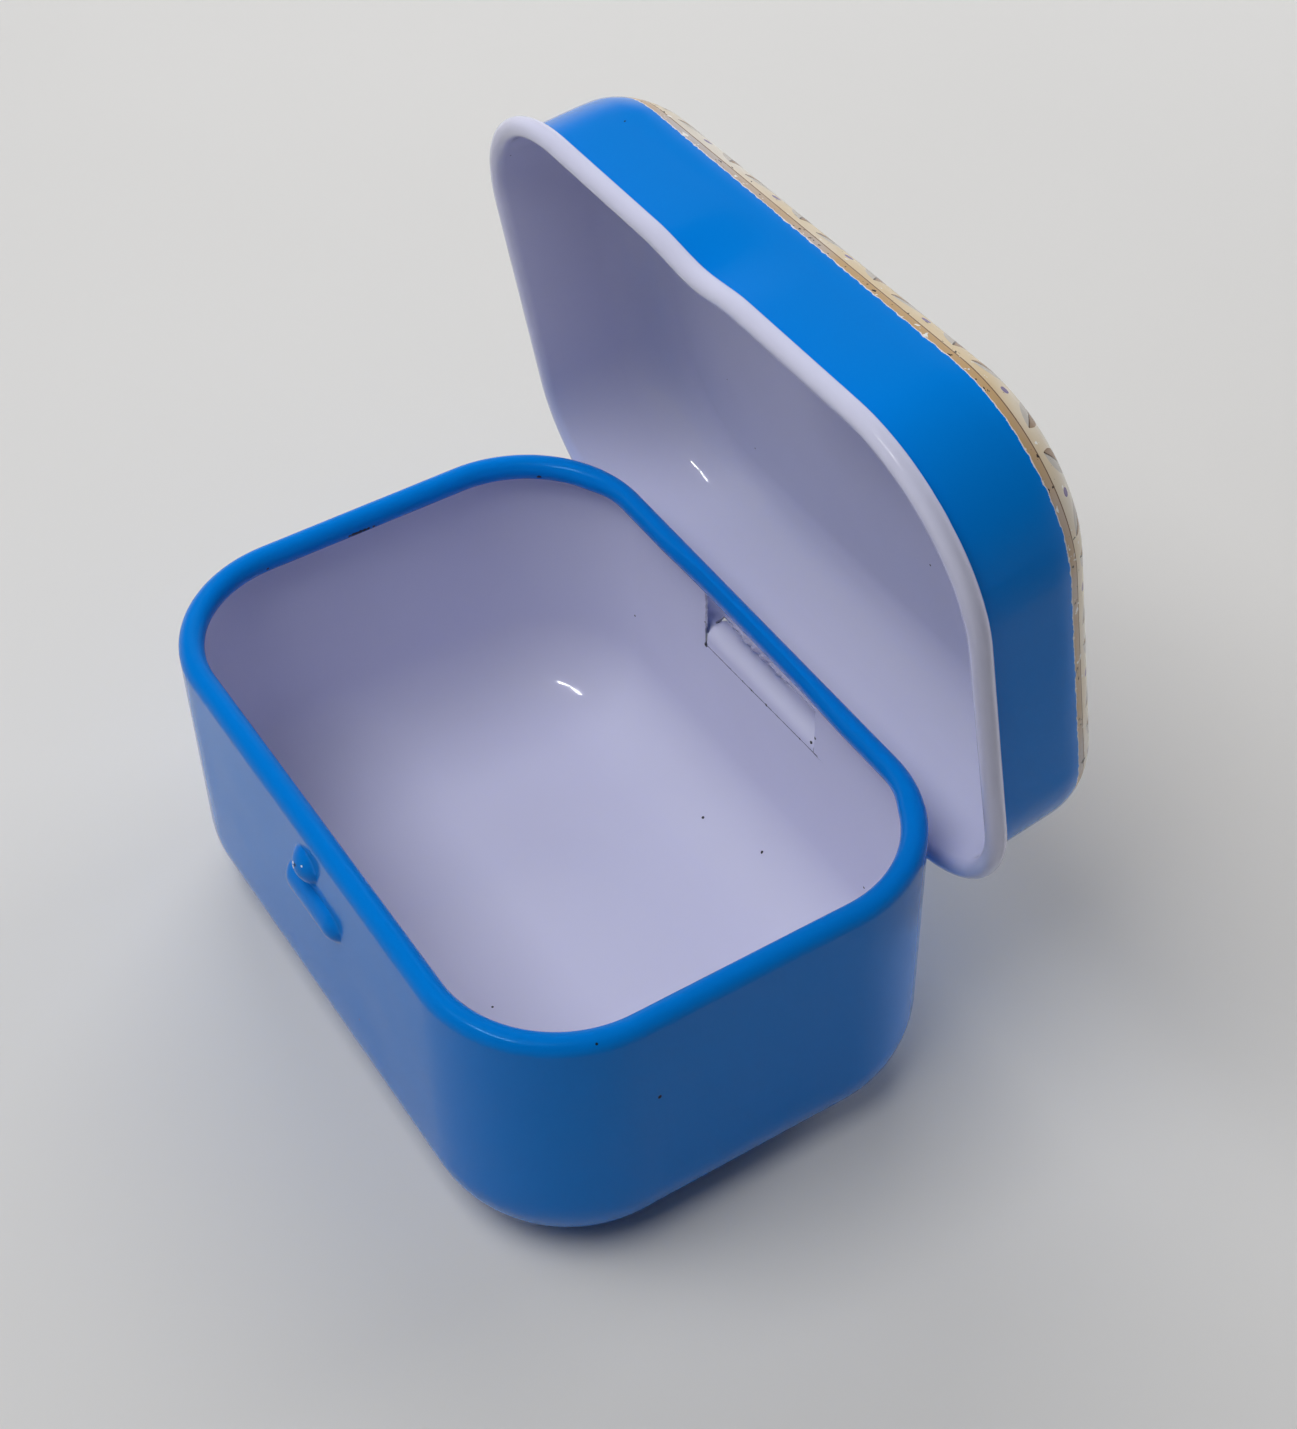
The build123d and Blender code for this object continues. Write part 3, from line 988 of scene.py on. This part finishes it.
base_spans = [
    (-slot_half, bar_x - bar_length / 2, cut_step),
    (bar_x - bar_length / 2, bar_x + bar_length / 2, fine_step),
    (bar_x + bar_length / 2, slot_half, cut_step),
]
lid_spans = [
    (-window_half, burr_left, cut_step),
    (burr_left, burr_right, burr_step),
    (burr_right, window_half, cut_step),
]
base_places = straight_places(base_half_x - base_corner, base_spans)
lid_places = straight_places(lid_half_x - lid_corner, lid_spans)
base_stops = outline(base_half_x, base_half_y, -base_half_y, base_corner, base_places)
lid_stops = outline(lid_half_x, lid_back, lid_front, lid_corner, lid_places)
lid_placing = Matrix.Translation(hinge_place) @ Matrix.Rotation(-open_tilt, 4, "X")

for piece, node, body, slot in (
    (make_base(base_stops), "base_shell", "base", "outer_lacquer"),
    (make_rim(base_stops), "base_rim_curl", "base", "outer_lacquer"),
    (make_tongue(), "hinge_tongue", "base", "inner_lacquer"),
    (make_lid(lid_stops, lid_placing), "lid_shell", "lid", "outer_lacquer"),
    (make_bead(lid_stops, lid_placing), "lid_rim_curl", "lid", "inner_lacquer"),
):
    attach(piece, body)
    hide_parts(node)


# Studio: a pale card floor, soft light from the upper left, and the photograph's camera

horizon = "#D9D8D6"
ceiling = "#5E6066"
room_light = "#4B4C50"
wall_top = 0.05
ceiling_edge = 0.45


def seen_rays(tree):
    """1 for the rays that show the room itself: from the camera, mirrored or through glass."""
    rays = add(tree, "LightPath").outputs
    seen = add(tree, "Math", {0: rays["Is Camera Ray"], 1: rays["Is Glossy Ray"]}, operation="MAXIMUM")
    seen = add(tree, "Math", {0: seen.outputs[0], 1: rays["Is Transmission Ray"]}, operation="MAXIMUM")
    return seen.outputs[0]


def matt_card(name):
    """Uncoated white card: matt, with a slight unevenness of tone. Far off, it is seen to fade into
    the pale room."""
    material, tree, shader, place = new_material(name)
    cloud_mm = 90.0
    fade_from_mm = 180.0
    fade_to_mm = 460.0
    cloud = add(tree, "TexNoise", {"Vector": place, "Scale": 1 / cloud_mm, "Detail": 3.0}).outputs[0]
    tone = add(tree, "Mix", {0: cloud, 6: linear("#D5D4D2"), 7: linear("#DAD9D7")}, data_type="RGBA")
    tree.links.new(tone.outputs[2], shader.inputs["Base Color"])
    shader.inputs["Roughness"].default_value = 0.8
    away = add(tree, "VectorMath", {0: place}, operation="LENGTH").outputs["Value"]
    span = {"Value": away, "From Min": fade_from_mm, "From Max": fade_to_mm}
    faded = add(tree, "MapRange", span, interpolation_type="SMOOTHSTEP").outputs[0]
    share = add(tree, "Math", {0: faded, 1: seen_rays(tree)}, operation="MULTIPLY").outputs[0]
    room = add(tree, "Emission", {"Color": linear(horizon)}).outputs[0]
    blend = add(tree, "MixShader", {0: share, 1: shader.outputs[0], 2: room}).outputs[0]
    tree.links.new(blend, tree.nodes["Material Output"].inputs["Surface"])
    return material


def make_floor():
    floor_half = 900.0
    bm = bmesh.new()
    bmesh.ops.create_grid(bm, x_segments=1, y_segments=1, size=floor_half)
    return finish_mesh("floor", bm, [matt_card("matt_white_card")])


def area_lamp(name, place, length, width, watts):
    """A soft lamp aimed at the tin, its length level."""
    data = bpy.data.lights.new(name, "AREA")
    data.shape = "RECTANGLE"
    data.size = length * MM
    data.size_y = width * MM
    data.energy = watts
    lamp = bpy.data.objects.new(name, data)
    tin_middle = Vector((0, 0, 15))
    lamp.location = Vector(place) * MM
    lamp.rotation_euler = (tin_middle - Vector(place)).to_track_quat("-Z", "Y").to_euler()
    lamp.visible_camera = False
    bpy.context.scene.collection.objects.link(lamp)
    return lamp


make_floor()
for softbox in (
    area_lamp("soft_overhead", (-8, -176, 450), 380, 240, 1.4),
    area_lamp("soft_front", (-205, -355, 300), 240, 200, 0.2),
    area_lamp("soft_window_left", (-323, 183, 301), 340, 200, 0.88),
    area_lamp("soft_window_back", (0, 485, 121), 200, 160, 0.95),
):
    softbox.visible_glossy = False

# Two ceiling tubes in a row give the thin highlights, and no other light
for side in (-1, 1):
    tube = area_lamp("ceiling_tube", (side * 80, -406, 690), 125, 9, 0.8)
    tube.visible_diffuse = False
    tube.data.cycles.max_bounces = 0

world = bpy.data.worlds.new("pale_room")
bpy.context.scene.world = world
world.use_nodes = True
world_tree = world.node_tree
world_tree.nodes.clear()
direction = add(world_tree, "TexCoord").outputs["Generated"]
up = add(world_tree, "SeparateXYZ", {0: direction}).outputs[2]
span = {"Value": up, "From Min": wall_top, "From Max": ceiling_edge}
overhead = add(world_tree, "MapRange", span).outputs[0]
colours = {0: overhead, 6: linear(horizon), 7: linear(ceiling)}
room = add(world_tree, "Mix", colours, data_type="RGBA").outputs[2]
shown = {0: seen_rays(world_tree), 6: linear(room_light), 7: room}
lit = add(world_tree, "Mix", shown, data_type="RGBA").outputs[2]
background = add(world_tree, "Background", {"Color": lit}).outputs[0]
add(world_tree, "OutputWorld", {"Surface": background})

camera_place = Vector((138.19, -73.08, 187.60))
camera_aim = Vector((-7.48, 15.78, 15.0))
camera_roll = radians(1.35)
focal_pixels = 2548.3
photo_height = 1429
camera_data = bpy.data.cameras.new("camera")
camera = bpy.data.objects.new("camera", camera_data)
bpy.context.scene.collection.objects.link(camera)
camera_data.sensor_width = 36.0
camera_data.lens = focal_pixels * camera_data.sensor_width / photo_height
camera_data.clip_start = 0.01
look = (camera_aim - camera_place).to_track_quat("-Z", "Y").to_matrix()
turned = look @ Matrix.Rotation(-camera_roll, 3, "Z")
camera.matrix_world = Matrix.Translation(camera_place * MM) @ turned.to_4x4()
bpy.context.scene.camera = camera
bpy.context.scene.view_settings.view_transform = "Standard"
